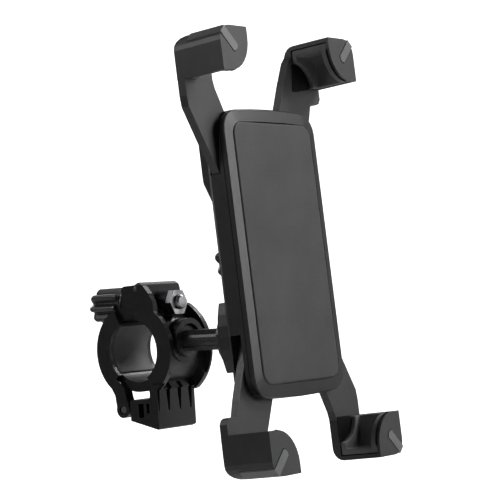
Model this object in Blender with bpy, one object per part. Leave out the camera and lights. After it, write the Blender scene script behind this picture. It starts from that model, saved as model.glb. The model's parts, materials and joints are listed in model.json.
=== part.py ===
"""Handlebar phone mount: scissor-lever phone cradle on a ball joint and a hinged bar clamp.

World frame: metres, +Z up, origin in the middle of the front pad's face.
X runs along the handlebar, -Y is the side the phone's screen faces, left is -X.
All dimensions below are in millimetres and are scaled once, when a mesh is made.

Three working frames are used:
  HEAD   x = across the phone, y = depth behind the front pad, z = along the phone
  CLAMP  turned slightly about the bar; x along the bar, -y towards the head, z up
  BALL   the CLAMP directions, at the centre of the ball
"""

import math

import bmesh
import bpy
from mathutils import Matrix, Vector

MM = 0.001
ORIGIN = (0, 0, 0)

# ---------------------------------------------------------------- shared dimensions
CLAMP_TILT = math.radians(4.2)      # the clamp is set this far round the bar
PAD_DIST = 74.1                     # bar axis to the front of the pad
BODY_UP = 30.4                      # bar axis to the centre of the cradle body
BALL_DEPTH = 24.0                   # ball centre behind the pad face
BALL_UP = -31.0                     # ball centre relative to the body centre
NECK_UP = 3.27                      # neck axis above the bar axis
PIVOT_HOLE_R = 3.3                  # clearance round the pivot bolt
KNOB_BORE_R = 3.2

# ---------------------------------------------------------------- scene and frames
for old in list(bpy.data.objects):
    bpy.data.objects.remove(old, do_unlink=True)

HEAD = Matrix.Identity(4)
TILT = Matrix.Rotation(CLAMP_TILT, 4, "X")
CLAMP = Matrix.Translation((0, PAD_DIST, -BODY_UP)) @ TILT
BALL = Matrix.Translation((0, BALL_DEPTH, BALL_UP)) @ TILT
BALL_AHEAD = -(CLAMP.inverted() @ BALL.translation).y   # bar axis to ball, along the neck


# ---------------------------------------------------------------- materials
def material(name, colour, roughness, metallic=0.0):
    mat = bpy.data.materials.new(name)
    mat.use_nodes = True
    bsdf = mat.node_tree.nodes["Principled BSDF"]
    bsdf.inputs["Base Color"].default_value = (*colour, 1)
    bsdf.inputs["Roughness"].default_value = roughness
    bsdf.inputs["Metallic"].default_value = metallic
    mat.diffuse_color = (*colour, 1)
    return mat


BLACK = material("black_plastic", colour=(0.016, 0.016, 0.017), roughness=0.45)
DARK = material("dark_plastic", colour=(0.011, 0.011, 0.012), roughness=0.5)
PAD = material("pad_rubber", colour=(0.032, 0.032, 0.033), roughness=0.6)
RUBBER = material("grip_rubber", colour=(0.025, 0.025, 0.026), roughness=0.7)
TRIM = material("grey_trim", colour=(0.09, 0.09, 0.092), roughness=0.5)
STEEL = material("steel", colour=(0.62, 0.62, 0.63), roughness=0.25, metallic=1.0)
SPRING = material("spring_steel", colour=(0.35, 0.35, 0.36), roughness=0.3, metallic=1.0)


# ---------------------------------------------------------------- mesh helpers
def build(name, verts, faces, frame, mat, origin=ORIGIN):
    """One object from points in a working frame, with its origin at `origin`."""
    mesh = bpy.data.meshes.new(name)
    offset = Vector(origin)
    mesh.from_pydata([(Vector(v) - offset) * MM for v in verts], [], faces)
    bm = bmesh.new()
    bm.from_mesh(mesh)
    bmesh.ops.remove_doubles(bm, verts=bm.verts, dist=1e-7)
    bmesh.ops.recalc_face_normals(bm, faces=bm.faces)
    if bm.calc_volume(signed=True) < 0:
        bmesh.ops.reverse_faces(bm, faces=bm.faces)
    bm.to_mesh(mesh)
    bm.free()
    obj = bpy.data.objects.new(name, mesh)
    bpy.context.scene.collection.objects.link(obj)
    place = frame.copy()
    place.translation = frame.translation * MM
    obj.matrix_world = place @ Matrix.Translation(offset * MM)
    mesh.materials.append(mat)
    return obj


def on_axis(axis, first, second, along):
    """Point at a distance along an axis, from its other two coordinates in order."""
    return {
        "x": (along, first, second),
        "y": (first, along, second),
        "z": (first, second, along),
    }[axis]


def loft(name, rings, frame, mat=DARK, origin=ORIGIN):
    """Closed skin through rings of the same count, capped at both ends."""
    n = len(rings[0])
    verts = [v for ring in rings for v in ring]
    faces = [tuple(range(n)), tuple(range((len(rings) - 1) * n, len(rings) * n))]
    for k in range(len(rings) - 1):
        for i in range(n):
            j = (i + 1) % n
            faces.append((k * n + i, k * n + j, (k + 1) * n + j, (k + 1) * n + i))
    return build(name, verts, faces, frame, mat, origin)


def prism(name, outline, axis, start, end, frame, mat=DARK, origin=ORIGIN):
    """Closed prism of a 2-D outline between two distances along an axis of the frame."""
    rings = [[on_axis(axis, *point, along) for point in outline] for along in (start, end)]
    return loft(name, rings, frame, mat, origin)


def lathe(name, profile, axis, centre, frame, seg, mat=DARK, origin=ORIGIN, lobes=None,
          closed=False):
    """Turned solid: profile of (radius, distance along axis); a radius of 0 makes a pole.

    A closed profile joins its last point to its first; an open one is capped.
    """
    verts, rows = [], []
    for radius, along in profile:
        count = seg if radius else 1
        rows.append(range(len(verts), len(verts) + count))
        for i in range(count):
            turn = 2 * math.pi * i / seg
            reach = lobes(radius, turn) if lobes else radius
            point = on_axis(axis, reach * math.cos(turn), reach * math.sin(turn), along)
            verts.append([c + p for c, p in zip(centre, point)])
    faces = []
    pairs = list(zip(rows, rows[1:])) + ([(rows[-1], rows[0])] if closed else [])
    for one, two in pairs:
        for i in range(seg):
            j = (i + 1) % seg
            if len(one) == 1:
                faces.append((one[0], two[j], two[i]))
            elif len(two) == 1:
                faces.append((one[i], one[j], two[0]))
            else:
                faces.append((one[i], one[j], two[j], two[i]))
    if not closed:
        faces += [tuple(row) for row in (rows[0], rows[-1]) if len(row) > 1]
    return build(name, verts, faces, frame, mat, origin)


def cyl(name, radius, axis, centre, start, end, frame, seg, mat=DARK):
    return lathe(name, [(radius, start), (radius, end)], axis, centre, frame, seg, mat)


def box(name, low, high, frame):
    (x0, y0, z0), (x1, y1, z1) = low, high
    return prism(name, [(y0, z0), (y1, z0), (y1, z1), (y0, z1)], "x", x0, x1, frame)


def arc(radius, start, end, steps, x=0.0, y=0.0):
    """Points on a circle round (x, y) from one angle to another, in degrees."""
    angles = [math.radians(start + (end - start) * i / steps) for i in range(steps + 1)]
    return [(x + radius * math.cos(a), y + radius * math.sin(a)) for a in angles]


def mirrored(points, side_x, side_y):
    return [(side_x * x, side_y * y) for x, y in points]


def rounded_rect(half_w, half_h, radius, bulge=0.0):
    """Rounded rectangle whose top and bottom edges rise by `bulge` at the middle."""
    x, y = half_w - radius, half_h - radius
    points = []
    for side_x, side_y, start in ((1, 1, 0), (-1, 1, 90), (-1, -1, 180), (1, -1, 270)):
        points += arc(radius, start, start + 90, 5, side_x * x, side_y * y)
        if bulge and start in (0, 180):
            for k in (0.5, 0.0, -0.5):
                points.append((k * side_y * x, side_y * (half_h + bulge * (1 - k * k))))
    return points


def at_depth(points, y):
    return [(x, y, z) for x, z in points]


def plate(name, stations, mat):
    """Loft in HEAD through (depth, half width, half height, corner radius, bulge)."""
    rings = [at_depth(rounded_rect(*size), depth) for depth, *size in stations]
    return loft(name, rings, HEAD, mat)


def boolean(obj, others, operation):
    """Applies a Boolean with each of the others and removes them."""
    for other in others:
        mod = obj.modifiers.new("b", "BOOLEAN")
        mod.operation = operation
        mod.solver = "EXACT"
        mod.object = other
        bpy.context.view_layer.update()
        graph = bpy.context.evaluated_depsgraph_get()
        mesh = bpy.data.meshes.new_from_object(obj.evaluated_get(graph))
        obj.modifiers.remove(mod)
        old_mesh = obj.data
        obj.data = mesh
        mesh.name = obj.name
        bpy.data.meshes.remove(old_mesh)
        other_mesh = other.data
        bpy.data.objects.remove(other, do_unlink=True)
        bpy.data.meshes.remove(other_mesh)
    # keep only the body's own material
    mat = obj.data.materials[0]
    obj.data.materials.clear()
    obj.data.materials.append(mat)
    for poly in obj.data.polygons:
        poly.material_index = 0


def cut(obj, *others):
    boolean(obj, others, "DIFFERENCE")


def add(obj, *others):
    boolean(obj, others, "UNION")


def smooth(obj, angle=35):
    """Smooth shading, with edges sharper than `angle` degrees kept sharp."""
    obj.data.shade_smooth()
    obj.data.set_sharp_from_angle(angle=math.radians(angle))


# ---------------------------------------------------------------- cradle body
BODY = (29.6, 55.5, 8.5)            # half width, half height, corner radius
RECESS = (25.4, 50.6, 5.45)         # the same for the recess that holds the pad
PAD_SIZE = (24.95, 50.1, 5.0)       # and for the pad
BODY_BULGE, PAD_BULGE = 0.7, 0.4    # rise of the top and bottom edges
FRONT_T = 3.2                       # front housing thickness
CAVITY_FLOOR = 10.3                 # inside floor of the rear housing
SLOT_FRONT = 5.45                   # side slots run from here to the floor
HUMP_UP = 36.5                      # centre of the hump on the rear housing

SCREWS = ((-24.0, -2.5), (24.0, 2.5), (-3.0, 48.5), (3.0, -48.5))   # (x, z)

# (x, z): upper left slot; its lower edge stops the rear lever
WIDE_SLOT = [
    (-35, 62), (-8.5, 62), (-8.5, 50), (-11, 42), (-11, 24), (-26.2, 25.05), (-35, 40.8),
]
# (y, z): relief in the side wall
WEDGE = [(3.0, 55.0), (6.0, 55.0), (6.0, 36.0), (5.4, 36.0), (3.0, 50.0)]


def inset(size, margin):
    return [value - margin for value in size]


def front_housing():
    body = plate("front_housing", [
        (FRONT_T, *BODY, BODY_BULGE),
        (1.75, *BODY, BODY_BULGE),
        (1.3, *inset(BODY, 0.45), BODY_BULGE),
        (0.45, *RECESS, PAD_BULGE),
        (1.85, *RECESS, PAD_BULGE),
    ], BLACK)
    for x, z in SCREWS:
        add(body, cyl("boss", 3.0, "y", (x, 0, z), 2.6, 9.9, HEAD, seg=14))
        cut(body, cyl("pilot", 1.35, "y", (x, 0, z), 4.4, 12, HEAD, seg=10))
    cut(body, cyl("bolt_end", PIVOT_HOLE_R, "y", ORIGIN, -1, 5, HEAD, seg=16))
    smooth(body)


def front_pad():
    smooth(plate("front_pad", [
        (1.55, *PAD_SIZE, PAD_BULGE),
        (0.3, *PAD_SIZE, PAD_BULGE),
        (0.0, *inset(PAD_SIZE, 0.3), PAD_BULGE),
    ], PAD))


def hump_ring(depth, size, drop):
    """Rounded rectangle with its lower half moved down by `drop`."""
    points = rounded_rect(*size)
    return at_depth([(x, z + HUMP_UP - (drop if z < 0 else 0)) for x, z in points], depth)


def rear_housing():
    body = plate("rear_housing", [
        (CAVITY_FLOOR, 27.6, 53.4, 6.4, BODY_BULGE),
        (3.5, 27.8, 53.6, 6.6, BODY_BULGE),
        (3.5, *BODY, BODY_BULGE),
        (10.2, *BODY, BODY_BULGE),
        (12.0, 28.4, 54.2, 7.2, BODY_BULGE),
        (13.3, 26.2, 52.0, 6.0, BODY_BULGE),
    ], BLACK)
    add(body, loft("hump", [
        hump_ring(12.1, (28.2, 15.4, 6.0), 4.6),
        hump_ring(16.5, (26.8, 13.6, 4.8), -2.6),
    ], HEAD))
    front, floor = SLOT_FRONT, CAVITY_FLOOR
    cut(body,
        prism("slot_upper_left", WIDE_SLOT, "y", front, floor, HEAD),
        prism("slot_lower_right", mirrored(WIDE_SLOT, -1, -1), "y", front, floor, HEAD),
        box("slot_upper_right", (3.2, front, 30.4), (32, floor, 62), HEAD),
        box("slot_lower_left", (-32, front, -62), (-3.2, floor, -30.4), HEAD),
        prism("wedge_left", WEDGE, "x", -32, -24, HEAD),
        prism("wedge_right", mirrored(WEDGE, 1, -1), "x", 24, 32, HEAD))
    for x, z in SCREWS:
        cut(body, cyl("hole", 1.7, "y", (x, 0, z), 9, 20, HEAD, seg=10),
            cyl("sink", 3.1, "y", (x, 0, z), 11.6, 20, HEAD, seg=14))
    cut(body, cyl("pivot", PIVOT_HOLE_R, "y", ORIGIN, 9, 15, HEAD, seg=16))
    smooth(body)


def housing_screw(name, x, z):
    """Cross-slotted screw, its head to the rear."""
    profile = [(0, 5.2), (1.05, 5.2), (1.05, 11.9), (2.7, 11.9), (2.7, 12.7), (2.1, 13.2),
               (0, 13.2)]
    screw = lathe(name, profile, "y", (x, 0, z), HEAD, 14, STEEL, (x, 0, z))
    for half_x, half_z in ((1.5, 0.3), (0.3, 1.5)):
        cut(screw, box("slot", (x - half_x, 12.6, z - half_z), (x + half_x, 14, z + half_z),
                       HEAD))


# ---------------------------------------------------------------- scissor levers
ARM_FRONT, ARM_BACK = 6.0, 9.6      # depth range of the arms
FRONT_HUB = (4.8, 7.0)              # depth range of the front lever at the pivot
REAR_HUB = (7.3, 9.8)               # and of the rear lever
HUB_R = 10.6
STRIP_HALF_L, STRIP_HALF_W = 34, 9.4

CLAW_OUT, CLAW_END = 43.45, 84.0    # outer faces of the claws, in x and z
CLAW_IN, CLAW_LOW = 26.7, 66.9      # free edge of the lip, lower end of the walls
CLAW_BACK, CLAW_FRONT = 9.65, -12.95   # depth of the base and of the lip's front
WALL = 1.7
CLAW_R = 6.0                        # outer corner of a claw
BASE_R = 5.0                        # turn from the end wall into the base
LIP_T = 1.1                         # thickness of a claw's lip
ELLIPSE_X, ELLIPSE_Z = 12.2, 13.2   # semi-axes of the lip's cut-back corner
OVERCUT = 3                         # cutters reach this far past the claw
TRIM_HALF_W = 1.8                   # half width of the grey line

PAD_GAP = 0.3                       # clearance between a claw and its rubber
PAD_EDGE = 0.2                      # the rubber stops this far inside the claw's edges
PAD_WALL = 2.4

# lean is a point (x, z) on the arm's line; outlines are (x, z) of one arm, for side = 1
REAR_ARM = {
    "side": -1,
    "lean": (32.7, 56.0),
    "outline": [
        (7.9, 32.2), (22.1, 56.0), (25.9, 64.3), (26.75, 68.0), (26.75, 78.0), (42.9, 78.0),
        (43.4, 74.0), (43.4, 60.6), (42.9, 56.6), (36.4, 44.2), (24.8, 23.4),
    ],
}
FRONT_ARM = {
    "side": 1,
    "lean": (24.1, 56.0),
    "outline": [
        (4.0, 34.8), (13.6, 56.0), (19.0, 67.6), (24.2, 77.5), (26.75, 80.0), (40.0, 80.0),
        (43.4, 76.0), (43.4, 63.0), (42.3, 61.2), (40.6, 60.6), (36.2, 60.6), (34.3, 55.0),
        (31.6, 48.6), (22.0, 26.4),
    ],
}


def corner_outline(x0, z0, x1, z1, radius):
    """Rectangle with its outer end corner rounded."""
    rounded = arc(radius, 0, 90, 5, x1 - radius, z1 - radius)
    return [(x0, z0), (x1, z0)] + rounded + [(x0, z1)]


def lip_corner(x_far, z_far):
    """Outline that cuts a lip's free corner back to a quarter ellipse."""
    angles = [math.pi / 2 * i / 8 for i in range(9)]
    curve = [(CLAW_IN + ELLIPSE_X * (1 - math.cos(a)), CLAW_LOW + ELLIPSE_Z * (1 - math.sin(a)))
             for a in angles]
    start = [(x_far, CLAW_LOW + ELLIPSE_Z)]
    return start + curve + [(CLAW_IN + ELLIPSE_X, z_far), (x_far, z_far)]


def claw_block(side_x, side_z):
    """One claw, before it joins its arm: base, outer wall, end wall and lip."""
    outline = corner_outline(CLAW_IN, CLAW_LOW, CLAW_OUT, CLAW_END, CLAW_R)
    claw = prism("claw", mirrored(outline, side_x, side_z), "y", CLAW_BACK, CLAW_FRONT, HEAD)
    # the end wall turns into the base with a large radius
    y, z = CLAW_BACK - BASE_R, CLAW_END - BASE_R
    turn = [(CLAW_BACK + 2, z)] + arc(BASE_R, 0, 90, 5, y, z)
    turn += [(y, CLAW_END + 2), (CLAW_BACK + 2, CLAW_END + 2)]
    cut(claw, prism("round", mirrored(turn, 1, side_z), "x",
                    side_x * (CLAW_IN - 2), side_x * (CLAW_OUT + 2), HEAD))
    x_far, z_far = CLAW_IN - OVERCUT, CLAW_LOW - OVERCUT
    inner = corner_outline(x_far, z_far, CLAW_OUT - WALL, CLAW_END - WALL, CLAW_R - WALL)
    cut(claw,
        prism("inside", mirrored(inner, side_x, side_z), "y",
              ARM_FRONT - 0.05, CLAW_FRONT + LIP_T, HEAD),
        prism("lip_cut", mirrored(lip_corner(x_far, z_far), side_x, side_z), "y",
              CLAW_FRONT + 2.4, CLAW_FRONT - 3, HEAD))
    return claw


def lever(name, hub_depths, arm):
    """A flat lever with an arm and a claw at each end, the same shape turned half a turn."""
    side = arm["side"]
    angle = math.atan2(*arm["lean"])
    cosine, sine = math.cos(angle), math.sin(angle)
    strip = [(side * (along * sine + across * cosine), along * cosine - across * sine)
             for along, across in ((-STRIP_HALF_L, -STRIP_HALF_W), (-STRIP_HALF_L, STRIP_HALF_W),
                                   (STRIP_HALF_L, STRIP_HALF_W), (STRIP_HALF_L, -STRIP_HALF_W))]
    body = prism(name, strip, "y", *hub_depths, HEAD, BLACK)
    add(body, cyl("hub", HUB_R, "y", ORIGIN, *hub_depths, HEAD, seg=28))
    for end in (1, -1):
        outline = mirrored(arm["outline"], end * side, end)
        add(body, prism("arm", outline, "y", ARM_FRONT, ARM_BACK, HEAD),
            claw_block(end * side, end))
    cut(body, cyl("eye", PIVOT_HOLE_R, "y", ORIGIN, 0, 15, HEAD, seg=20))
    for end in (1, -1):
        cut(body, trim_shape("groove", end * side, end,
                             clearance=0.3, corner_proud=3.0, front_proud=3.0))
    smooth(body)


def trim_shape(name, side_x, side_z, clearance, corner_proud, front_proud):
    """A line that runs along a claw's outer corner and folds over its lip.

    It stands proud of the corner and of the lip's front by the last two values.
    """
    diagonal = math.sqrt(0.5)
    half = TRIM_HALF_W + clearance
    outer = CLAW_R + corner_proud
    inner = CLAW_R - 0.6 - clearance
    front = CLAW_FRONT - front_proud

    def place(points):
        """From (radius along the corner's diagonal, offset across it) to (x, z)."""
        return [(side_x * (CLAW_OUT - CLAW_R + diagonal * radius + diagonal * across),
                 side_z * (CLAW_END - CLAW_R + diagonal * radius - diagonal * across))
                for radius, across in points]

    run = place([(inner, -half), (outer, -half), (outer, half), (inner, half)])
    bar = prism(name, run, "y", 3.0 + clearance, front + 0.15, HEAD, TRIM)
    tip = -4.4 - clearance
    edge, side = outer - 0.04, half - 0.02
    fold = place([(edge, side), (edge, -side), (tip + 0.8, -side), (tip, -0.35 * side),
                  (tip, 0.35 * side), (tip + 0.8, side)])
    add(bar, prism("fold", fold, "y", CLAW_FRONT + 0.35 + clearance, front, HEAD))
    return bar


def corner_pad(name, side_x, side_z):
    """Rubber cradle that lines the inside of a claw."""
    x0, x1 = CLAW_IN + PAD_EDGE, CLAW_OUT - WALL - PAD_GAP
    z0, z1 = CLAW_LOW + PAD_EDGE, CLAW_END - WALL - PAD_GAP
    front, back = CLAW_FRONT + LIP_T + PAD_GAP, ARM_FRONT - PAD_GAP
    x_far, z_far = x0 - OVERCUT, z0 - OVERCUT

    def block(label, outline, start, end, mat=DARK):
        return prism(label, mirrored(outline, side_x, side_z), "y", start, end, HEAD, mat)

    pad = block(name, corner_outline(x0, z0, x1, z1, 4.0), front, back, RUBBER)
    phone = corner_outline(x_far, z_far, x1 - PAD_WALL, z1 - PAD_WALL, 5.0)
    scoop = arc(10.2, 0, 360, 24, x0 - 0.4, z0 - 0.4)[:-1]
    cut(pad,
        block("phone", phone, front + 2.8, back - 2.2),
        block("lip_cut", lip_corner(x_far, z_far), front - 1, front + 3.4),
        block("scoop", scoop, back - 2.6, back + 1))
    smooth(pad)


# ---------------------------------------------------------------- pivot
def pivot_bolt():
    profile = [(0, 2.1), (2.9, 2.1), (2.9, 3.5), (5.0, 3.5), (5.0, 4.5), (2.9, 4.5),
               (2.9, 27.2), (0, 27.2)]
    smooth(lathe("pivot_bolt", profile, "y", ORIGIN, HEAD, 20, STEEL))


def return_spring():
    """Flat spiral of round wire about the head of the pivot bolt."""
    wire_r, inner_r, pitch, depth = 0.5, 6.6, 1.45, 4.0
    turns, steps, sides = 1.7, 34, 6
    rings = []
    for i in range(steps + 1):
        turn = 2 * math.pi * turns * i / steps
        radius = inner_r + pitch * turns * i / steps
        cosine, sine = math.cos(turn), math.sin(turn)
        x, z = radius * cosine, radius * sine
        rings.append([(x + wire_r * math.cos(a) * cosine, depth + wire_r * math.sin(a),
                       z + wire_r * math.cos(a) * sine)
                      for a in [2 * math.pi * j / sides for j in range(sides)]])
    smooth(loft("return_spring", rings, HEAD, SPRING))


def lock_washer():
    profile = [(3.2, 13.6), (7.0, 13.6), (7.0, 14.8), (3.2, 14.8)]
    smooth(lathe("lock_washer", profile, "y", ORIGIN, HEAD, 24, STEEL, closed=True))


def star_knob(name, frame, up, near, far, radius, origin, bore_end, phase, lobe_depth):
    """Eight-lobed hand knob with a turned collar at its near end."""
    def lobes(r, turn):
        return r * (1 - lobe_depth * (0.5 - 0.5 * math.cos(8 * (turn - phase))) ** 1.5)

    centre = (0, 0, up)
    collar = near + 2.6
    star = [(radius * 0.98, collar), (radius, collar + 1.2), (radius, far - 1.6),
            (radius * 0.86, far)]
    knob = lathe(name, star, "y", centre, frame, 48, BLACK, origin, lobes)
    flare = [(0, near), (radius * 0.8, near), (radius * 0.82, near + 0.7),
             (radius * 0.66, collar + 0.5), (0, collar + 0.5)]
    add(knob, lathe("collar", flare, "y", centre, frame, seg=24))
    cut(knob, cyl("bore", KNOB_BORE_R, "y", centre, near - 3, bore_end, frame, seg=16),
        cyl("dish", radius * 0.5, "y", centre, far - 1.0, far + 3, frame, seg=20))
    smooth(knob)


# ---------------------------------------------------------------- ball joint
BALL_R = 7.0
SEAT_IN_R, SEAT_OUT_R = 7.3, 8.5    # inner and outer radius of the shells round the ball
CAVITY_R = 8.8
SOCKET_CENTRE = (0, 0, BALL_UP)
SOCKET_HALF_W, SOCKET_TOP, SOCKET_BOTTOM = 13.2, 14.0, -13.6
SOCKET_BARREL = 2.6                 # the sides curve in this far at top and bottom
CAVITY_MOUTH_R = 10.9
RIM_AHEAD = 2.1                     # the ring nut starts this far behind the ball centre
FOOT_END = BALL_AHEAD - 17.0        # end of the stud's foot, from the ball centre
FOOT_R = 6.4


def socket_housing():
    middle, half_h = (SOCKET_TOP + SOCKET_BOTTOM) / 2, (SOCKET_TOP - SOCKET_BOTTOM) / 2
    heights = [SOCKET_BOTTOM + (SOCKET_TOP - SOCKET_BOTTOM) * k / 6 for k in range(7)]
    outline = [(side * (SOCKET_HALF_W - SOCKET_BARREL * ((z - middle) / half_h) ** 2), z)
               for side in (1, -1) for z in heights[::side]]
    body = loft("ball_socket_housing", [
        at_depth([(x * scale, z * scale + BALL_UP + 0.6) for x, z in outline], depth)
        for depth, scale in ((13.6, 1), (28.8, 1), (29.7, 0.94))
    ], HEAD, BLACK)
    hole_r, steps = 4.0, 10
    start = math.asin(hole_r / CAVITY_R)
    profile = [(hole_r, 12.0)]
    for i in range(steps + 1):
        a = start + (math.pi / 2 + 0.2 - start) * i / steps
        profile.append((CAVITY_R * math.sin(a), BALL_DEPTH - CAVITY_R * math.cos(a)))
    profile += [(CAVITY_MOUTH_R, profile[-1][1]), (CAVITY_MOUTH_R, 33.0)]
    cut(body, lathe("cavity", profile, "y", SOCKET_CENTRE, HEAD, seg=28))
    smooth(body)


def ring_nut():
    """Ring round the neck, hollowed to the cavity's sphere and notched round its rim."""
    profile = [(10.6, BALL_DEPTH + RIM_AHEAD), (10.6, 30.0), (11.6, 30.15), (11.6, 31.7),
               (11.0, 32.2), (8.4, 32.2)]
    start, end = math.acos(5.7 / CAVITY_R), math.acos(RIM_AHEAD / CAVITY_R)
    for i in range(6):
        a = start + (end - start) * i / 5
        profile.append((CAVITY_R * math.sin(a), BALL_DEPTH + CAVITY_R * math.cos(a)))
    nut = lathe("socket_ring_nut", profile, "y", SOCKET_CENTRE, HEAD, 28, BLACK,
                (0, BALL_DEPTH, BALL_UP), closed=True)
    for k in range(6):
        a = math.radians(60 * k + 30)
        centre = (12.4 * math.cos(a), 0, 12.4 * math.sin(a) + BALL_UP)
        cut(nut, cyl("notch", 1.5, "y", centre, 30.5, 34, HEAD, seg=10))
    smooth(nut)


def shell(name, start, end, mat, side):
    """Part of a spherical shell round the ball, between two angles from its axis."""
    profile = []
    for radius, first, last in ((SEAT_OUT_R, start, end), (SEAT_IN_R, end, start)):
        for i in range(6):
            a = math.radians(first + (last - first) * i / 5)
            profile.append((radius * math.sin(a), side * radius * math.cos(a)))
    smooth(lathe(name, profile, "y", ORIGIN, BALL, 24, mat, closed=True))


def ball_stud():
    """Ball, cross-ribbed neck and foot; the foot stands in the boss of the fixed jaw."""
    root_r, neck_r = 3.6, 4.3
    profile = [(0, -BALL_R)]
    sweep = math.pi - math.asin(root_r / BALL_R)
    for i in range(1, 11):
        a = sweep * i / 10
        profile.append((BALL_R * math.sin(a), -BALL_R * math.cos(a)))
    profile += [(root_r, 10.6), (neck_r, 12.8), (neck_r, FOOT_END - 2.2),
                (FOOT_R, FOOT_END - 1.6), (FOOT_R, FOOT_END), (0, FOOT_END)]
    stud = lathe("ball_stud", profile, "y", ORIGIN, BALL, 24, BLACK)
    for k in range(4):
        a = math.radians(45 + 90 * k)
        cosine, sine = math.cos(a), math.sin(a)
        rib = [(out * cosine - across * sine, out * sine + across * cosine)
               for out, across in ((3.5, 0.8), (3.5, -0.8), (5.0, -0.8), (5.0, 0.8))]
        add(stud, prism("rib", rib, "y", 13.0, FOOT_END - 2.0, BALL))
    cut(stud, cyl("tap", 2.2, "y", ORIGIN, FOOT_END - 8.5, FOOT_END + 2, BALL, seg=12))
    smooth(stud)


def stud_screw():
    smooth(cyl("stud_screw", 2.0, "y", NECK, -24.2, -14.9, CLAMP, 12, STEEL))


# ---------------------------------------------------------------- bar clamp
BORE_R = 12.7                       # side faces of the jaws: 25.4 mm bar
LINER_IN_R, LINER_OUT_R = 12.4, 14.3
GROOVE_R, GROOVE_HALF_W = 14.6, 11.1   # groove that holds a liner
JAW_R = 19.6                        # outside of the swing jaw
HALF_W = 13.0                       # half width of the clamp
LUG_HALF_W = 9.5                    # half width of the swing jaw's shoulder and lug
BOLT_UP = 18.9                      # bolt axis above the bar axis
HINGE_AHEAD, HINGE_UP, KNUCKLE_R = -7.2, -23.6, 3.4
PIN_HOLE_R = 1.75

NECK = (0, 0, NECK_UP)
BOLT = (0, 0, BOLT_UP)
HINGE = (0, -HINGE_AHEAD, HINGE_UP)
BOLT_ORIGIN = (0, 10.8, BOLT_UP)

# side outlines: (towards the head, up), from the bar axis
FIXED_LUG = [(2.3, 14.0), (2.3, 27.0), (3.1, 27.8), (4.6, 27.8), (5.4, 26.8), (5.4, 14.0)]
GUSSET = [
    (4.0, 15.0), (4.0, 26.6), (6.4, 26.9), (7.4, 26.3), (10.1, 23.1), (11.8, 20.2),
    (12.3, 17.8), (12.3, 15.4), (9, 12),
]
GRIP_BLOCK = [
    (7.5, -11.6), (7.7, -16.4), (7.4, -19.0), (6.6, -19.7), (-2.6, -19.7), (-3.2, -20.3),
    (-3.2, -28.2), (11.0, -31.9), (11.5, -31.4), (11.5, -15.4), (10.9, -14.3), (9.4, -13.0),
    (8.6, -11),
]
KNUCKLE = [(-3.6, -20.2), (2, -20.3), (2, -29.4), (-3.0, -28.2)] + arc(
    KNUCKLE_R, 285, 60, 10, HINGE_AHEAD, HINGE_UP)
SWING_LUG = [
    (-7.4, 15.0), (-7.4, 25.2), (-6.2, 26.6), (0.9, 26.9), (1.7, 26.1), (1.7, 12.65),
    (-4, 12.4),
]
EAR = [(-12.6, -9.6), (-13.6, -13.4), (-11.0, -17.8)] + arc(
    KNUCKLE_R, 160, 370, 12, HINGE_AHEAD, HINGE_UP) + [(-5.0, -18.8), (-5.9, -14.9), (-8.0, -12.2)]

# finger groove, seen from the head: (x from its middle, up)
FINGER_GROOVE = [
    (-1.35, -13.3), (1.35, -13.3), (1.15, -17.5), (0.4, -24.6), (-0.4, -24.6), (-1.15, -17.5),
]
FINGER_GROOVES = ((-12.2, 0.6), (-6.0, 1), (1.1, 1), (7.9, 1))   # (x, width scale)


def side_prism(name, outline, x0, x1, mat=DARK, origin=ORIGIN):
    """Prism along the bar from a side outline."""
    return prism(name, mirrored(outline, -1, 1), "x", x0, x1, CLAMP, mat, origin)


def sector(name, inner, outer, start, end, x0, x1, steps, mat=DARK, origin=ORIGIN):
    """Part of a ring round the bar; angles run from the head side upwards."""
    outline = arc(outer, start, end, steps) + arc(inner, end, start, steps)
    return side_prism(name, outline, x0, x1, mat, origin)


def pin_hole():
    return cyl("pin_hole", PIN_HOLE_R, "x", HINGE, -20, 20, CLAMP, seg=16)


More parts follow.
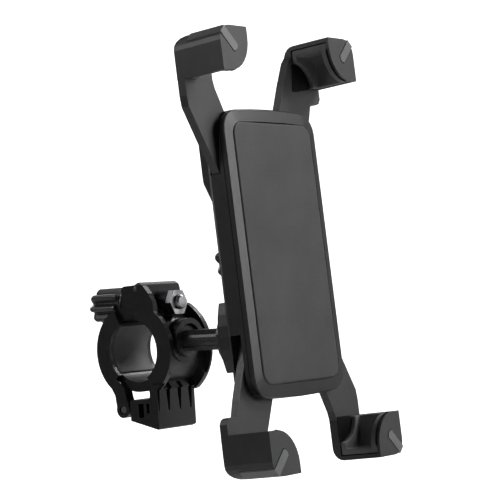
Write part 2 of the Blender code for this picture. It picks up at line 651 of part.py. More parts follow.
def fixed_jaw():
    jaw = sector("fixed_jaw", BORE_R, 19.9, -58, 82, -HALF_W, HALF_W, 20, BLACK)
    add(jaw, sector("right_flange", BORE_R + 1, 20.8, -54, 62, 10.6, HALF_W - 0.02, 18),
        side_prism("lug", FIXED_LUG, -HALF_W, HALF_W))
    # rounded upper corners of the lug, seen from the head
    corner = arc(4.0, 0, 90, 5, HALF_W - 4.0, 24.2)
    corner = [(HALF_W + 1, 24.0)] + corner + [(HALF_W - 4, 29.5), (HALF_W + 1, 29.5)]
    for side in (1, -1):
        cut(jaw, prism("corner", mirrored(corner, side, 1), "y", -9, 1, CLAMP))
    add(jaw, side_prism("gusset", GUSSET, -10.5, -HALF_W))
    cut(jaw, sector("right_gap", 17.2, 26, 62.4, 71.5, 5.8, HALF_W + 2, 4))
    add(jaw, side_prism("block", GRIP_BLOCK, -HALF_W, HALF_W - 0.05))
    # the block stops short of the right side, with a rounded upright corner
    upright = [(HALF_W + 1, 4), (HALF_W - 0.6, 4)] + arc(2.6, 0, -90, 6, HALF_W - 3.2, -8.9)
    upright += [(HALF_W - 3.2, -14), (HALF_W + 1, -14)]
    cut(jaw, prism("upright", upright, "z", -34, -17.1, CLAMP))
    toe = [(HALF_W + 1, -28.5), (HALF_W - 0.6, -28.5)]
    toe += arc(3.2, 0, -90, 6, HALF_W - 3.8, -28.5) + [(HALF_W - 3.8, -34), (HALF_W + 1, -34)]
    cut(jaw, prism("toe", toe, "y", -14, 5, CLAMP))
    add(jaw, side_prism("knuckle", KNUCKLE, -8.1, 8.1))
    cut(jaw, sector("groove", 8, GROOVE_R, -90, 88, -GROOVE_HALF_W, GROOVE_HALF_W, 22),
        sector("channel", 16.4, 24, -51, 56, -10.5, 10.5, 16))
    # boss that holds the foot of the neck
    add(jaw, cyl("boss", 9.0, "y", NECK, -20.0, -14.9, CLAMP, seg=26))
    cut(jaw, cyl("boss_in", 6.8, "y", NECK, -25, -16.7, CLAMP, seg=26),
        cyl("stud_hole", 2.4, "y", NECK, -20, -13, CLAMP, seg=12),
        cyl("bolt_hole", 3.4, "y", BOLT, -8, 1, CLAMP, seg=16),
        cyl("spacer_room", 5.6, "y", BOLT, -20, -5.6, CLAMP, seg=22),
        pin_hole(),
        # the boss is a hood: its lower part is cut back towards the jaw
        box("hood", (-12, -24, NECK_UP - 14), (12, -17.2, NECK_UP - 3.2), CLAMP))
    for middle, scale in FINGER_GROOVES:
        groove = [(middle + x * scale, z) for x, z in FINGER_GROOVE]
        cut(jaw, prism("finger_groove", groove, "y", -15, -9.7, CLAMP))
    # pockets in both ends of the block
    for side in (1, -1):
        cut(jaw, box("pocket", (side * 6, -3.9, -27.0), (side * 15, -1.3, -21.3), CLAMP),
            box("pocket", (side * 6, -7.0, -25.2), (side * 15, -5.4, -21.3), CLAMP))
    smooth(jaw)


def swing_jaw():
    jaw = sector("swing_jaw", BORE_R, JAW_R, 119, 228, -HALF_W, HALF_W, 18, BLACK, HINGE)
    add(jaw, sector("shoulder", BORE_R, JAW_R, 97, 121, -LUG_HALF_W, LUG_HALF_W, 5),
        side_prism("lug", SWING_LUG, -LUG_HALF_W, LUG_HALF_W),
        sector("tail", BORE_R, 16.7, 226, 293, -10.2, 10.2, 12))
    for side in (1, -1):
        add(jaw, side_prism("ear", EAR, side * 8.5, side * HALF_W))
    cut(jaw, sector("groove", 8, GROOVE_R, 95, 226, -GROOVE_HALF_W, GROOVE_HALF_W, 22),
        pin_hole(),
        box("bolt_slot", (-3.4, -4, BOLT_UP - 4.0), (3.4, 12, BOLT_UP + 4.0), CLAMP),
        cyl("seat", 6.9, "y", BOLT, 7.45, 13.4, CLAMP, seg=24),
        cyl("knob_room", 8.3, "y", BOLT, 13.3, 20, CLAMP, seg=24))
    smooth(jaw)


def hinge_pin():
    profile = [(0, -12.6), (1.4, -12.6), (1.6, -12.3), (1.6, 12.3), (1.4, 12.6), (0, 12.6)]
    smooth(lathe("hinge_pin", profile, "x", HINGE, CLAMP, 16, STEEL, HINGE))


def clamp_bolt():
    """Rod fixed in the hand knob; it passes both lugs and the nut."""
    profile = [(0, 25.2), (2.9, 25.2), (2.9, -16.4), (2.3, -17.0), (0, -17.0)]
    smooth(lathe("clamp_bolt", profile, "y", BOLT, CLAMP, 18, STEEL, BOLT_ORIGIN))


def hex_nut():
    outline = arc(5.5, 0, 360, 6, 0, BOLT_UP)[:-1]
    nut = prism("hex_nut", outline, "y", -12.3, -15.2, CLAMP, STEEL)
    cut(nut, cyl("thread", 3.2, "y", BOLT, -25, -8, CLAMP, seg=18))


def nut_spacer():
    profile = [(3.25, -5.7), (5.0, -5.7), (5.0, -12.0), (3.25, -12.0)]
    smooth(lathe("nut_spacer", profile, "y", BOLT, CLAMP, 22, closed=True))


def knob_washer():
    profile = [(3.2, 7.8), (6.3, 7.8), (6.3, 10.4), (5.7, 10.8), (3.2, 10.8)]
    smooth(lathe("knob_washer", profile, "y", BOLT, CLAMP, 24, DARK, BOLT_ORIGIN, closed=True))


def liner(name, start, end, origin):
    smooth(sector(name, LINER_IN_R, LINER_OUT_R, start, end, -10.8, 10.8, 16, RUBBER, origin),
           angle=30)


# ---------------------------------------------------------------- assembly
front_housing()
front_pad()
rear_housing()
for number, (x, z) in enumerate(SCREWS, 1):
    housing_screw(f"housing_screw_{number}", x, z)

lever("lever_rear", REAR_HUB, REAR_ARM)
lever("lever_front", FRONT_HUB, FRONT_ARM)
for row, side_z in (("upper", 1), ("lower", -1)):
    for column, side_x in (("left", -1), ("right", 1)):
        corner_pad(f"corner_pad_{row}_{column}", side_x, side_z)
        trim_shape(f"claw_trim_{row}_{column}", side_x, side_z,
                   clearance=0.0, corner_proud=0.3, front_proud=0.25)

pivot_bolt()
return_spring()
lock_washer()
star_knob("lock_knob", HEAD, up=0, near=15.1, far=30.2, radius=9.6, origin=ORIGIN,
          bore_end=27.8, phase=math.radians(-14), lobe_depth=0.3)

socket_housing()
ring_nut()
shell("friction_seat", 52, 88, RUBBER, side=1)
shell("pressure_cup", 14, 60, DARK, side=-1)
ball_stud()
stud_screw()

fixed_jaw()
swing_jaw()
hinge_pin()
clamp_bolt()
hex_nut()
nut_spacer()
knob_washer()
star_knob("star_knob", CLAMP, up=BOLT_UP, near=11.2, far=28.2, radius=7.6,
          origin=(0, 11.2, BOLT_UP), bore_end=26.2, phase=math.radians(8), lobe_depth=0.36)
liner("fixed_jaw_liner", -55, 79, ORIGIN)
liner("swing_jaw_liner", 124, 223, HINGE)
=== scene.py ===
"""Studio scene of a handlebar phone mount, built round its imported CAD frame.

Metres, +Z up. The phone lies on the front, which faces -Y; the bar clamp is behind, at +Y.
Sizes of the added pieces are in millimetres and are turned into metres by MM.
"""

import json
import math

import bmesh
import bpy
from mathutils import Matrix, Vector


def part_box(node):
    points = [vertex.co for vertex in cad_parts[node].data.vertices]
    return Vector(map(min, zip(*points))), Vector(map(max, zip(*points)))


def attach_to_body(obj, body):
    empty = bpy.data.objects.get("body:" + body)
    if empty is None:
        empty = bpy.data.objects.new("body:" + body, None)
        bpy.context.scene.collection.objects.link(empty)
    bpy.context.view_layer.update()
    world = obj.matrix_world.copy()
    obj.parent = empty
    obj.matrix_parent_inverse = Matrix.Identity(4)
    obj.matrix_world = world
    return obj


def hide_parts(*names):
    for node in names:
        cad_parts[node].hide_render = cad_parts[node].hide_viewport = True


MM = 0.001

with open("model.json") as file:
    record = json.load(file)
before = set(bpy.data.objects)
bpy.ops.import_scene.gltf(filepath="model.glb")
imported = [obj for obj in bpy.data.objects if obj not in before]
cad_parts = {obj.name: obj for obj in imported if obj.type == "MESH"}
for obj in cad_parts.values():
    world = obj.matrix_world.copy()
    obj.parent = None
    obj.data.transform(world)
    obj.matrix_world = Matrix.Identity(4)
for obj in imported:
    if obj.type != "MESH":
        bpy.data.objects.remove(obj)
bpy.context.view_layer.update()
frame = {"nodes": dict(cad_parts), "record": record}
NODES = frame["nodes"]
RECORD = frame["record"]
BODY_OF = {name: body for body, names in RECORD["behaviour"]["bodies"].items() for name in names}

# ------------------------------------------------------------------ shader helpers


def add_node(tree, kind, inputs, **settings):
    """Adds a shader node; an input given as a socket is linked, any other is set."""
    made = tree.nodes.new("ShaderNode" + kind)
    for key, value in settings.items():
        setattr(made, key, value)
    for key, value in inputs.items():
        if isinstance(value, bpy.types.NodeSocket):
            tree.links.new(value, made.inputs[key])
        else:
            made.inputs[key].default_value = value
    return made


def noise(tree, coords, scale, detail, rough):
    inputs = {"Scale": scale, "Detail": detail, "Roughness": rough, "Vector": coords}
    return add_node(tree, "TexNoise", inputs).outputs["Fac"]


def remap(tree, value, to_min, to_max, from_min=0.3, from_max=0.7):
    """Maps one range to another; the default source range is where most noise values lie."""
    inputs = {"From Min": from_min, "From Max": from_max,
              "To Min": to_min, "To Max": to_max, "Value": value}
    return add_node(tree, "MapRange", inputs).outputs["Result"]


def calculate(tree, operation, *values):
    return add_node(tree, "Math", dict(enumerate(values)), operation=operation).outputs[0]


def blend(tree, factor, first, second):
    """Mixes two colours, each an RGB tuple or a socket."""
    first, second = ((*c, 1) if isinstance(c, tuple) else c for c in (first, second))
    inputs = {"Factor": factor, "A": first, "B": second}
    return add_node(tree, "Mix", inputs, data_type="RGBA").outputs["Result"]


def bump(tree, height, strength, distance):
    inputs = {"Strength": strength, "Distance": distance, "Height": height}
    return add_node(tree, "Bump", inputs)


def edge_mask(tree, radius, flat_cosine, edge_cosine=0.8):
    """1 on edges, 0 on flats, from how far a rounded normal leans from the true one."""
    rounded = add_node(tree, "Bevel", {"Radius": radius}, samples=4).outputs["Normal"]
    true = add_node(tree, "NewGeometry", {}).outputs["Normal"]
    lean = add_node(tree, "VectorMath", {0: rounded, 1: true}, operation="DOT_PRODUCT")
    return remap(tree, lean.outputs["Value"], 0.0, 1.0,
                 from_min=flat_cosine, from_max=edge_cosine)


def new_material(name):
    mat = bpy.data.materials.new(name)
    mat.use_nodes = True
    return mat, mat.node_tree, mat.node_tree.nodes["Principled BSDF"]


def object_coords(tree):
    return add_node(tree, "TexCoord", {}).outputs["Object"]


# ------------------------------------------------------------------ materials

CLOUD = 0.25  # share by which slow clouding darkens and lightens a moulded colour
DULL = (0.5, 0.5, 0.52)  # what dull patches leave of a metal's colour
BRIGHT_EDGE = (0.85, 0.85, 0.86)


def moulded(name, colour, rough, grain, grain_scale=5200, wear=0.6, spec=0.5, sheen=0.0):
    """Plastic or rubber: fine grain, slow colour and gloss drift, handled edges."""
    mat, tree, bsdf = new_material(name)
    coords = object_coords(tree)
    fine = noise(tree, coords, scale=grain_scale, detail=2, rough=0.6)
    mid = noise(tree, coords, scale=900, detail=3, rough=0.55)
    slow = noise(tree, coords, scale=45, detail=3, rough=0.6)

    dark = tuple(c * (1 - CLOUD) for c in colour)
    light = tuple(c * (1 + CLOUD) for c in colour)
    speck = tuple(min(1.0, c * 1.5 + 0.002) for c in colour)
    worn = tuple(c * 1.9 + 0.004 for c in colour)
    base = blend(tree, remap(tree, slow, 0, 1), dark, light)
    specks = remap(tree, fine, 0, 0.35, from_min=0.5, from_max=0.75)
    base = blend(tree, specks, base, speck)
    edges = edge_mask(tree, radius=0.0006, flat_cosine=0.985)
    worn_edges = calculate(tree, "MULTIPLY", edges, remap(tree, mid, 0.15 * wear, wear))
    base = blend(tree, worn_edges, base, worn)
    tree.links.new(base, bsdf.inputs["Base Color"])

    # worn edges are polished smoother
    gloss_drift = remap(tree, mid, rough - 0.05, rough + 0.06)
    gloss = calculate(tree, "MULTIPLY_ADD", worn_edges, -0.12, gloss_drift)
    tree.links.new(gloss, bsdf.inputs["Roughness"])
    bsdf.inputs["Specular IOR Level"].default_value = spec
    if sheen:
        bsdf.inputs["Sheen Weight"].default_value = sheen
        bsdf.inputs["Sheen Roughness"].default_value = 0.4

    # the grain rides on a slow waviness
    grain_bump = bump(tree, fine, strength=grain, distance=0.00006)
    ripple = noise(tree, coords, scale=120, detail=2, rough=0.4)
    wave = bump(tree, ripple, strength=0.12, distance=0.0004)
    tree.links.new(wave.outputs["Normal"], grain_bump.inputs["Normal"])
    tree.links.new(grain_bump.outputs["Normal"], bsdf.inputs["Normal"])
    return mat


def metal(name, colour, rough, stretch=(1, 1, 1)):
    """Plated steel: brushed as stretch sets, with dull patches and brighter edges."""
    mat, tree, bsdf = new_material(name)
    bsdf.inputs["Metallic"].default_value = 1.0
    coords = object_coords(tree)
    stretched = add_node(tree, "Mapping", {"Scale": stretch, "Vector": coords})
    brush = noise(tree, stretched.outputs["Vector"], scale=1800, detail=4, rough=0.7)
    slow = noise(tree, coords, scale=260, detail=3, rough=0.6)

    dull = tuple(c * share for c, share in zip(colour, DULL))
    base = blend(tree, remap(tree, slow, 0, 1), dull, colour)
    edges = edge_mask(tree, radius=0.0003, flat_cosine=0.99)
    base = blend(tree, edges, base, BRIGHT_EDGE)
    tree.links.new(base, bsdf.inputs["Base Color"])

    brushed = remap(tree, brush, rough - 0.07, rough + 0.09)
    gloss = calculate(tree, "ADD", brushed, remap(tree, slow, 0.08, -0.04))
    tree.links.new(gloss, bsdf.inputs["Roughness"])
    brush_bump = bump(tree, brush, strength=0.25, distance=0.00003)
    tree.links.new(brush_bump.outputs["Normal"], bsdf.inputs["Normal"])
    return mat


BODY = moulded("housing_plastic", (0.0135, 0.0135, 0.014), rough=0.40, grain=0.35)
ARM = moulded("lever_plastic", (0.020, 0.020, 0.0205), rough=0.42, grain=0.35, grain_scale=4800)
CLAMP = moulded("clamp_plastic", (0.009, 0.009, 0.0093), rough=0.36, grain=0.3, wear=0.8)
NECK = moulded("neck_plastic", (0.020, 0.020, 0.0202), rough=0.32, grain=0.2, wear=0.9)
KNOB = moulded("knob_plastic", (0.020, 0.020, 0.0202), rough=0.34, grain=0.2, wear=0.9)
INNER = moulded("nylon", (0.008, 0.008, 0.008), rough=0.5, grain=0.2)
PAD = moulded("pad_rubber", (0.030, 0.030, 0.0305), rough=0.55, grain=0.5, grain_scale=3800,
              wear=0.2, spec=0.35, sheen=0.12)
GRIP = moulded("grip_rubber", (0.080, 0.080, 0.0805), rough=0.62, grain=0.6, grain_scale=3400,
               wear=0.3, spec=0.3, sheen=0.2)
# near-black sheet: painted shade, laid where the claws' hollows and the gaps under their lips
# fall into shadow
SHADE_SHEET = moulded("painted_shade_sheet", (0.0025, 0.0025, 0.0026), rough=0.8, grain=0.5,
                 grain_scale=3400, wear=0.0, spec=0.1)
# lighter grey for the claw trims: partly the trims' own lighter plastic, partly painted
# highlight for the lit facet along each claw's corner
TRIM_AND_HIGHLIGHT = moulded("trim_plastic_and_highlight", (0.085, 0.085, 0.086), rough=0.45, grain=0.35, wear=0.3)
STEEL = metal("plated_steel", (0.50, 0.50, 0.51), rough=0.26, stretch=(1, 14, 1))
SCREW = metal("screw_steel", (0.42, 0.42, 0.43), rough=0.32, stretch=(6, 1, 6))
WIRE = metal("spring_wire", (0.33, 0.33, 0.34), rough=0.3)

# ------------------------------------------------------------------ CAD pieces

LOOKS = {
    "front_housing": BODY, "rear_housing": BODY, "front_pad": PAD,
    "lever_rear": ARM, "lever_front": ARM, "lock_knob": KNOB, "star_knob": KNOB,
    "ball_socket_housing": BODY, "socket_ring_nut": KNOB, "ball_stud": NECK,
    "friction_seat": GRIP, "pressure_cup": INNER,
    "fixed_jaw": CLAMP, "swing_jaw": CLAMP, "fixed_jaw_liner": GRIP, "swing_jaw_liner": GRIP,
    "nut_spacer": INNER, "knob_washer": CLAMP,
    "hex_nut": STEEL, "clamp_bolt": STEEL, "lock_washer": STEEL, "return_spring": WIRE,
}

# edge radii, mm
EDGE = {
    "front_housing": 0.5, "rear_housing": 0.6, "front_pad": 0.25,
    "lever_rear": 0.55, "lever_front": 0.55, "fixed_jaw": 0.4, "swing_jaw": 0.4,
    "star_knob": 0.35, "lock_knob": 0.35, "ball_socket_housing": 0.7, "hex_nut": 0.25,
    "ball_stud": 0.25, "knob_washer": 0.3, "nut_spacer": 0.3, "socket_ring_nut": 0.25,
}
OTHER_EDGE = 0.2
UNBEVELLED = ("return_spring", "friction_seat", "pressure_cup")


def look_of(name):
    if name.startswith("claw_trim"):
        return TRIM_AND_HIGHLIGHT
    if name.startswith("corner_pad"):
        return GRIP
    return LOOKS.get(name, SCREW)


def weight_normals(obj):
    obj.modifiers.new("normals", "WEIGHTED_NORMAL").keep_sharp = True


def soften(obj, width):
    """Merges a CAD mesh's flat faces, then bevels the edges between them."""
    flat = obj.modifiers.new("flats", "DECIMATE")
    flat.decimate_type = "DISSOLVE"
    flat.angle_limit = math.radians(0.8)
    bevel = obj.modifiers.new("round", "BEVEL")
    bevel.width = width * MM
    bevel.segments = 2
    bevel.limit_method = "ANGLE"
    bevel.angle_limit = math.radians(30)
    bevel.use_clamp_overlap = True
    bevel.harden_normals = False
    weight_normals(obj)


def set_look(obj, look):
    obj.data.materials.clear()
    obj.data.materials.append(look)


for name, obj in NODES.items():
    set_look(obj, look_of(name))
    obj.data.shade_smooth()
    if name not in UNBEVELLED:
        soften(obj, EDGE.get(name, OTHER_EDGE))

# ------------------------------------------------------------------ added pieces: helpers


def link_object(name, data):
    obj = bpy.data.objects.new(name, data)
    bpy.context.scene.collection.objects.link(obj)
    return obj


def attach(obj, node_name, look):
    """obj rides on the body of a CAD node."""
    set_look(obj, look)
    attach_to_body(obj, BODY_OF[node_name])


def stand_for(obj, node_name, look):
    """obj takes the place of a CAD node, riding on its body."""
    attach(obj, node_name, look)
    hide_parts(node_name)


def loft(name, rings):
    """A closed skin over rings of equally many points, in metres."""
    count, last = len(rings[0]), len(rings) - 1
    faces = []
    for k in range(last):
        for i in range(count):
            j = (i + 1) % count
            near, far = k * count, (k + 1) * count
            faces.append((near + i, near + j, far + j, far + i))
    faces += [tuple(range(count)), tuple(range(last * count, (last + 1) * count))]
    mesh = bpy.data.meshes.new(name)
    mesh.from_pydata([point for ring in rings for point in ring], [], faces)
    bm = bmesh.new()
    bm.from_mesh(mesh)
    bmesh.ops.remove_doubles(bm, verts=bm.verts, dist=1e-7)
    bmesh.ops.recalc_face_normals(bm, faces=bm.faces)
    if bm.calc_volume(signed=True) < 0:
        bmesh.ops.reverse_faces(bm, faces=bm.faces)
    bm.to_mesh(mesh)
    bm.free()
    mesh.shade_smooth()
    return link_object(name, mesh)


def soft_copy(node_name, name, voxel, passes, look):
    """Replaces a CAD node by a fine remesh of it, relaxed until its edges are rounded."""
    obj = link_object(name, NODES[node_name].data.copy())
    obj.matrix_world = NODES[node_name].matrix_world.copy()
    grid = obj.modifiers.new("grid", "REMESH")
    grid.mode = "VOXEL"
    grid.voxel_size = voxel * MM
    relax = obj.modifiers.new("relax", "SMOOTH")
    relax.factor = 0.5
    relax.iterations = passes
    graph = bpy.context.evaluated_depsgraph_get()
    mesh = bpy.data.meshes.new_from_object(obj.evaluated_get(graph))
    obj.modifiers.clear()
    obj.data = mesh
    mesh.shade_smooth()
    stand_for(obj, node_name, look)


# ------------------------------------------------------------------ front pad

PAD_CORNER = 5.0
PAD_LEAST_CORNER = 0.6
PAD_RIM = 0.75  # radius of the rolled rim
PAD_RIM_STEPS = 7
PAD_FLAT_INSETS = (1.6, 3.0)  # rings on the flat front


def rounded_outline(half_width, half_height, radius, steps=14):
    """A rounded rectangle, anticlockwise from the right end of its top right corner."""
    x, y = half_width - radius, half_height - radius
    points = []
    for centre_x, centre_y, start in ((x, y, 0), (-x, y, 90), (-x, -y, 180), (x, -y, 270)):
        for k in range(steps + 1):
            a = math.radians(start + 90 * k / steps)
            points.append((centre_x + radius * math.cos(a), centre_y + radius * math.sin(a)))
    return points


def front_pad():
    """The soft pad: flat where the phone lies, with a rolled rim round it."""
    low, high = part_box("front_pad")
    half_width, half_height = (high[0] - low[0]) / 2 / MM, (high[2] - low[2]) / 2 / MM
    centre_x, centre_z = (low[0] + high[0]) / 2, (low[2] + high[2]) / 2
    front, back = low[1], high[1]
    # inset from the outline, depth behind the front face
    rows = [(0.0, (back - front) / MM)]
    for k in range(PAD_RIM_STEPS + 1):
        a = math.pi / 2 * k / PAD_RIM_STEPS
        rows.append((PAD_RIM * (1 - math.cos(a)), PAD_RIM * (1 - math.sin(a))))
    rows += [(inset, 0.0) for inset in PAD_FLAT_INSETS]
    rings = []
    for inset, depth in rows:
        corner = max(PAD_CORNER - inset, PAD_LEAST_CORNER)
        outline = rounded_outline(half_width - inset, half_height - inset, corner)
        rings.append([(centre_x + x * MM, front + depth * MM, centre_z + z * MM)
                      for x, z in outline])
    obj = loft("front_pad_soft", rings)
    weight_normals(obj)
    stand_for(obj, "front_pad", PAD)


# ------------------------------------------------------------------ soft-edged copies

# CAD node, new object, voxel mm, relaxing passes, look
SOFT_COPIES = [
    *(("corner_pad_" + side, "corner_cradle_" + side, 0.32, 7, GRIP)
      for side in ("upper_left", "upper_right", "lower_left", "lower_right")),
    ("star_knob", "hand_knob", 0.22, 9, KNOB),
    ("lock_knob", "lever_knob", 0.22, 9, KNOB),
    ("fixed_jaw_liner", "fixed_jaw_liner_soft", 0.25, 6, GRIP),
    ("swing_jaw_liner", "swing_jaw_liner_soft", 0.25, 6, GRIP),
    ("friction_seat", "friction_seat_soft", 0.2, 4, GRIP),
]

# ------------------------------------------------------------------ claw details

# corner, lever, sign of x, sign of z, how far the floor reaches inwards in x and in z
CLAWS = [
    ("upper_left", "lever_rear", -1, 1, 0.0, -2.6),
    ("lower_right", "lever_rear", 1, -1, 0.0, 0.6),
    ("upper_right", "lever_front", 1, 1, 2.2, 1.9),
    ("lower_left", "lever_front", -1, -1, 0.0, -2.6),
]

FLOOR_X, FLOOR_Z = 26.5, 66.7  # centre of the quarter round
FLOOR_RADIUS = 10.0
FLOOR_MARGIN = 0.4  # from that centre to the straight sides, before the reach
FLOOR_INNER_CORNER = 0.9
FLOOR_FRONT, FLOOR_BACK = 5.7, 5.99
FLOOR_EDGE = 0.12  # size of the broken front edge

BEAD_X, BEAD_Z = 26.7, 66.9  # inner ends of the lip's curve
BEAD_WIDTH, BEAD_HEIGHT = 12.2, 13.2  # extent of that curve
BEAD_OFFSET = 0.2
BEAD_Y = -11.55
BEAD_RADIUS = 0.55
BEAD_STEPS, BEAD_AROUND = 40, 10


def shade_floor(side, lever, sign_x, sign_z, reach_x, reach_z):
    """The dark quarter-round sheet beside a corner cradle, lying on the lever's plate: painted
    shade standing in for the shadow beside the cradle.
    """
    corner = FLOOR_INNER_CORNER
    inner_x = FLOOR_X + FLOOR_MARGIN - reach_x
    inner_z = FLOOR_Z + FLOOR_MARGIN - reach_z
    # inset from the outline, y
    rows = [
        (0.0, FLOOR_BACK), (0.0, FLOOR_FRONT + FLOOR_EDGE),
        (FLOOR_EDGE * 0.4, FLOOR_FRONT + FLOOR_EDGE * 0.4), (FLOOR_EDGE, FLOOR_FRONT),
    ]
    rings = []
    for inset, y in rows:
        outline = []
        for k in range(7):
            a = math.pi + math.pi / 2 * k / 6
            outline.append((inner_x + corner + (corner - inset) * math.cos(a),
                            inner_z + corner + (corner - inset) * math.sin(a)))
        radius = FLOOR_RADIUS - inset
        for k in range(33):
            a = math.pi / 2 * k / 32
            outline.append((FLOOR_X + radius * math.cos(a),
                            max(FLOOR_Z + radius * math.sin(a), inner_z + inset)))
        rings.append([(sign_x * x * MM, y * MM, sign_z * z * MM) for x, z in outline])
    attach(loft("shade_floor_" + side, rings), lever, SHADE_SHEET)


def shade_bead(side, lever, sign_x, sign_z):
    """The dark bead between a claw's lip and its cradle, along the lip's curved edge: painted
    shadow for the gap between them.
    """
    path = []
    for k in range(BEAD_STEPS + 1):
        a = math.pi / 2 * (0.03 + 0.94 * k / BEAD_STEPS)
        path.append((BEAD_X + BEAD_WIDTH * (1 - math.cos(a)) + BEAD_OFFSET,
                     BEAD_Z + BEAD_HEIGHT * (1 - math.sin(a)) + BEAD_OFFSET))
    rings = []
    for k, (x, z) in enumerate(path):
        x0, z0 = path[max(k - 1, 0)]
        x1, z1 = path[min(k + 1, BEAD_STEPS)]
        along = math.hypot(x1 - x0, z1 - z0)
        across_x, across_z = -(z1 - z0) / along, (x1 - x0) / along
        # the bead thins towards both ends
        radius = BEAD_RADIUS * min(1.0, 0.25 + min(k, BEAD_STEPS - k) / 3)
        ring = []
        for i in range(BEAD_AROUND):
            a = 2 * math.pi * i / BEAD_AROUND
            ring.append((sign_x * (x + across_x * radius * math.cos(a)) * MM,
                         (BEAD_Y + radius * math.sin(a)) * MM,
                         sign_z * (z + across_z * radius * math.cos(a)) * MM))
        rings.append(ring)
    attach(loft("shade_bead_" + side, rings), lever, SHADE_SHEET)


front_pad()
for copy in SOFT_COPIES:
    soft_copy(*copy)
for side, lever, sign_x, sign_z, reach_x, reach_z in CLAWS:
    shade_floor(side, lever, sign_x, sign_z, reach_x, reach_z)
    shade_bead(side, lever, sign_x, sign_z)

# ------------------------------------------------------------------ backdrop and world

BACKDROP_TURN = 52.65  # degrees, to face the camera
FLOOR_LEVEL = -0.27
BACKDROP_NEAR, BACKDROP_FAR = -2.0, 0.97
BACKDROP_TOP = 2.2
BACKDROP_HALF_WIDTH = 3.0
SWEEP = 0.4  # radius between floor and wall


def backdrop_mesh():
    # distance away from the camera, height
    profile = [(BACKDROP_NEAR, FLOOR_LEVEL)]
    for k in range(13):
        a = math.pi / 2 * k / 12
        profile.append((BACKDROP_FAR - SWEEP + SWEEP * math.sin(a),
                        FLOOR_LEVEL + SWEEP - SWEEP * math.cos(a)))
    profile.append((BACKDROP_FAR, BACKDROP_TOP))
    turn = Matrix.Rotation(-math.radians(BACKDROP_TURN), 4, "Z")
    verts = [turn @ Vector((x, away, z)) for away, z in profile
             for x in (-BACKDROP_HALF_WIDTH, BACKDROP_HALF_WIDTH)]
    faces = [(2 * i, 2 * i + 1, 2 * i + 3, 2 * i + 2) for i in range(len(profile) - 1)]
    mesh = bpy.data.meshes.new("backdrop")
    mesh.from_pydata(verts, [], faces)
    mesh.shade_smooth()
    return mesh


def camera_glow(tree, socket, **limits):
    """Drives a strength by whether the ray comes from the camera."""
    is_camera = add_node(tree, "LightPath", {}).outputs["Is Camera Ray"]
    tree.links.new(remap(tree, is_camera, **limits), socket)


def backdrop():
    obj = link_object("backdrop", backdrop_mesh())
    mat, tree, bsdf = new_material("backdrop")
    bsdf.inputs["Base Color"].default_value = (0.75, 0.75, 0.75, 1)
    bsdf.inputs["Roughness"].default_value = 0.85
    bsdf.inputs["Specular IOR Level"].default_value = 0.1
    bsdf.inputs["Emission Color"].default_value = (1, 1, 1, 1)
    # bright to the viewer, dim to the object, so that its dark side stays dark
    camera_glow(tree, bsdf.inputs["Emission Strength"],
                to_min=0.03, to_max=1.0, from_min=0.0, from_max=1.0)
    obj.data.materials.append(mat)


def white_world():
    """White to the camera; it gives the object no light."""
    world = bpy.data.worlds.new("world")
    bpy.context.scene.world = world
    world.use_nodes = True
    background = world.node_tree.nodes["Background"]
    background.inputs["Color"].default_value = (1, 1, 1, 1)
    camera_glow(world.node_tree, background.inputs["Strength"],
                to_min=0.0, to_max=1.0, from_min=0.035, from_max=1.0)


# ------------------------------------------------------------------ camera

VIEW_TURN, VIEW_TIP, VIEW_ROLL = (math.radians(v) for v in (52.6503, 6.5881, 1.79))
ORIGIN_IN_VIEW = Vector((0.0148201, -0.0005296, -0.7165908))  # the origin in camera axes


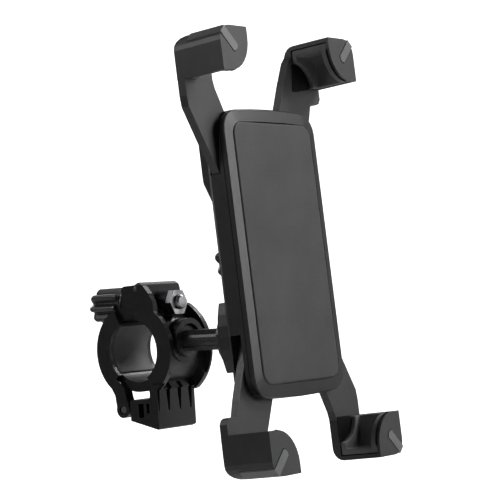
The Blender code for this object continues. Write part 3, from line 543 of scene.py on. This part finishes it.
def camera():
    """Stands round to the left (-X) and a little low, so the front seems tipped up."""
    sin_turn, cos_turn = math.sin(VIEW_TURN), math.cos(VIEW_TURN)
    sin_tip, cos_tip = math.sin(VIEW_TIP), math.cos(VIEW_TIP)
    roll = Matrix.Rotation(VIEW_ROLL, 3, "Z")
    # the object's right, front and top directions in camera axes
    right = roll @ Vector((cos_turn, 0, -sin_turn))
    front = roll @ Vector((cos_tip * sin_turn, sin_tip, cos_tip * cos_turn))
    top = roll @ Vector((-sin_tip * sin_turn, cos_tip, -sin_tip * cos_turn))
    turn = Matrix((right, -front, top))
    data = bpy.data.cameras.new("camera")
    data.sensor_width = 36
    data.lens = 132.84
    data.clip_start, data.clip_end = 0.02, 20
    obj = link_object("camera", data)
    place = turn.to_4x4()
    place.translation = -(turn @ ORIGIN_IN_VIEW)
    obj.matrix_world = place
    bpy.context.scene.camera = obj
    return place


backdrop()
white_world()
view = camera()

# ------------------------------------------------------------------ lights

MIDDLE = Vector((0, 0.024, 0))
UPPER_PART = MIDDLE + Vector((0, 0, 0.06))
BORE = Vector((0.013, 0.0741, -0.0294))  # in the clamp's bore


def place_light(name, data, position, aim):
    obj = link_object(name, data)
    obj.location = position
    obj.rotation_euler = (aim - position).to_track_quat("-Z", "Y").to_euler()
    return obj


def area(name, offset, size, power, aim=MIDDLE):
    """A square light; offset is right, up and towards the viewer from the middle."""
    data = bpy.data.lights.new(name, "AREA")
    data.shape = "RECTANGLE"
    data.size = data.size_y = size
    data.energy = power
    return place_light(name, data, MIDDLE + view.to_3x3() @ Vector(offset), aim)


def bore_light():
    """Shines through the clamp's bore from its far end, on to the lower half of its wall."""
    data = bpy.data.lights.new("bore", "SPOT")
    data.energy = 2.2
    data.spot_size = math.radians(4.2)
    data.spot_blend = 0.6
    data.shadow_soft_size = 0.01
    place_light("bore", data, BORE + 0.5 * Vector((1, -0.3, 0.8)).normalized(), BORE)


area("key", (0.45, 0.42, 0.02), size=0.2, power=3.0)
area("upper", (0.50, 0.15, 0.25), size=0.2, power=1.7, aim=UPPER_PART)
area("side", (-1.0, 0.6, 0.3), size=0.5, power=4.8)
area("glint", (1.1, 0.18, -0.3), size=0.5, power=0.8)
area("fill", (-0.45, 0.35, 1.05), size=0.7, power=0.9)
# light for the far side, out of the camera's sight
area("back_left", (-0.55, 0.35, -0.85), size=0.5, power=2.6).visible_camera = False
area("back_right", (0.35, 0.25, -1.1), size=0.5, power=2.2).visible_camera = False
area("rim", (0.6, 0.95, -0.85), size=0.22, power=2.5)
bore_light()

# ------------------------------------------------------------------ output

scene = bpy.context.scene
scene.view_settings.view_transform = "Standard"
scene.view_settings.look = "None"
scene.view_settings.exposure = 0.0
